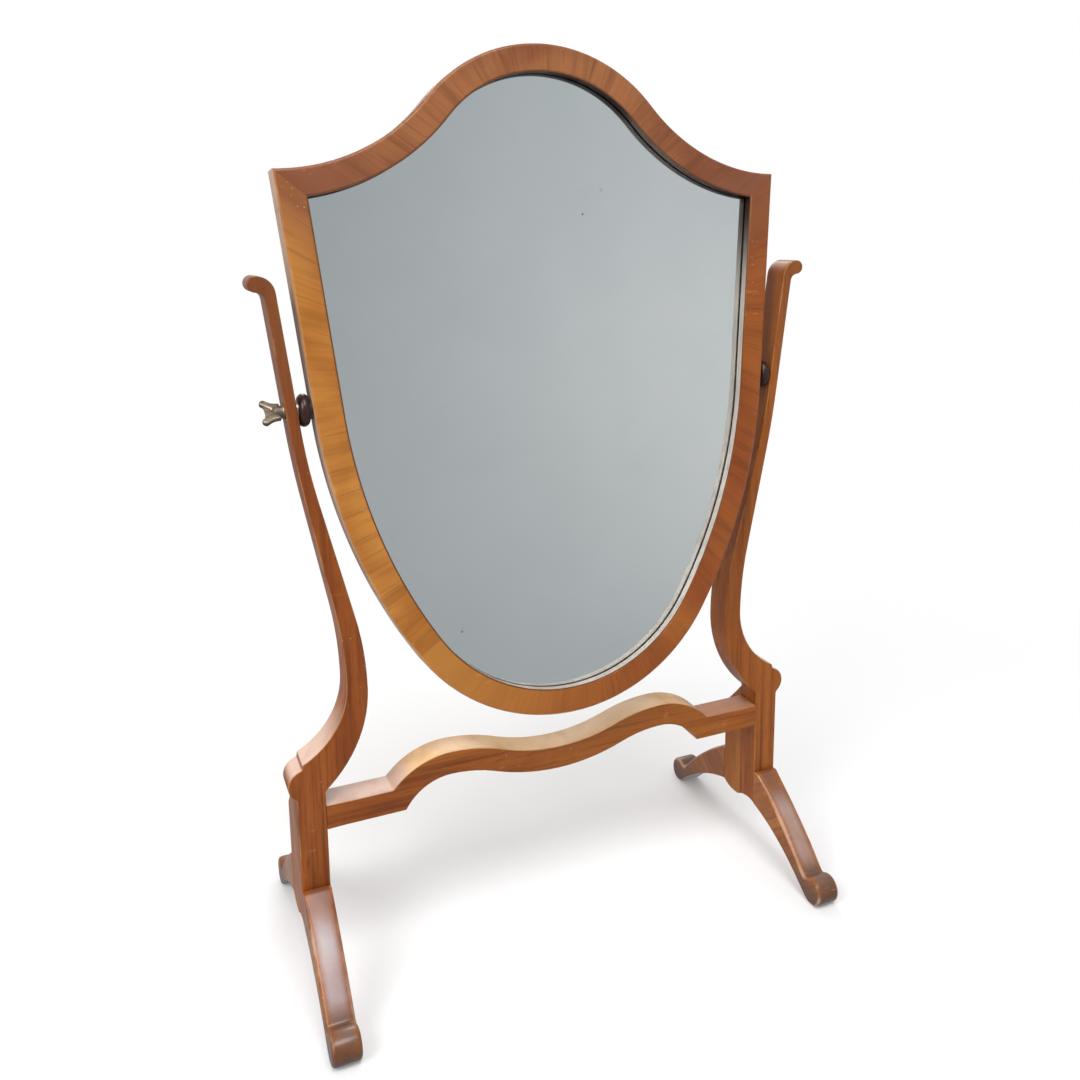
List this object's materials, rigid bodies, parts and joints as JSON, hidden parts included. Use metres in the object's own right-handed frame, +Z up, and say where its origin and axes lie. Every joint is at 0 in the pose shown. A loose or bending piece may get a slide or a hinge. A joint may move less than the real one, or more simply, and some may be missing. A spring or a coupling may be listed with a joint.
{
  "type": "dressing table mirror",
  "caption": "Shield-shaped tilting mirror in a crossbanded wooden frame, hung between swan-neck uprights joined by a shaped stretcher on sabre legs, with a brass thumbscrew.",
  "frame": {"origin": "on the table top, under the middle of the four feet", "axes": "+X to the right as seen from the front, +Y to the back, +Z up"},
  "size_m": [0.4232, 0.2196, 0.6544],
  "materials": {
    "mahogany": "polished",
    "crossband": "polished",
    "frame_core": "satin",
    "pale_slip": "satin",
    "backboard_pine": "raw",
    "block_softwood": "raw",
    "dowel_beech": "raw",
    "ebonised": "polished",
    "looking_glass": "silvered plate glass",
    "brass": "worn",
    "steel_screws": "dull"
  },
  "bodies": {
    "stand": {"left_upright": "mahogany", "left_post_block": "mahogany", "left_front_leg": "mahogany", "left_back_leg": "mahogany", "left_upright_washer": "brass", "right_upright": "mahogany", "right_post_block": "mahogany", "right_front_leg": "mahogany", "right_back_leg": "mahogany", "right_upright_washer": "brass", "stretcher": "mahogany", "leg_dowels": "dowel_beech"},
    "mirror": {"left_pivot_socket": "brass", "left_frame_washer": "brass", "left_boss": "ebonised", "right_pivot_socket": "brass", "right_frame_washer": "brass", "right_boss": "ebonised", "frame_top_rail": "frame_core", "veneer_top_rail": "crossband", "frame_right_stile": "frame_core", "veneer_right_stile": "crossband", "frame_bottom_rail": "frame_core", "veneer_bottom_rail": "crossband", "frame_left_stile": "frame_core", "veneer_left_stile": "crossband", "sight_slip": "pale_slip", "mirror_glass": "looking_glass", "backboard": "backboard_pine", "glass_blocks": "block_softwood", "backboard_screws": "steel_screws", "right_pivot_screw": "brass"},
    "thumbscrew": {"left_thumbscrew": "brass"}
  },
  "joints": [
    {"name": "mirror_tilt", "type": "hinge", "parent": "stand", "child": "mirror", "pos_m": [0, -0.013, 0.4125], "axis": [-1, 0, 0], "range_deg": [-140, 130]},
    {"name": "thumbscrew_turn", "type": "hinge", "parent": "mirror", "child": "thumbscrew", "pos_m": [-0.195, -0.013, 0.4125], "axis": [-1, 0, 0], "range_deg": [-20, 360]}
  ]
}
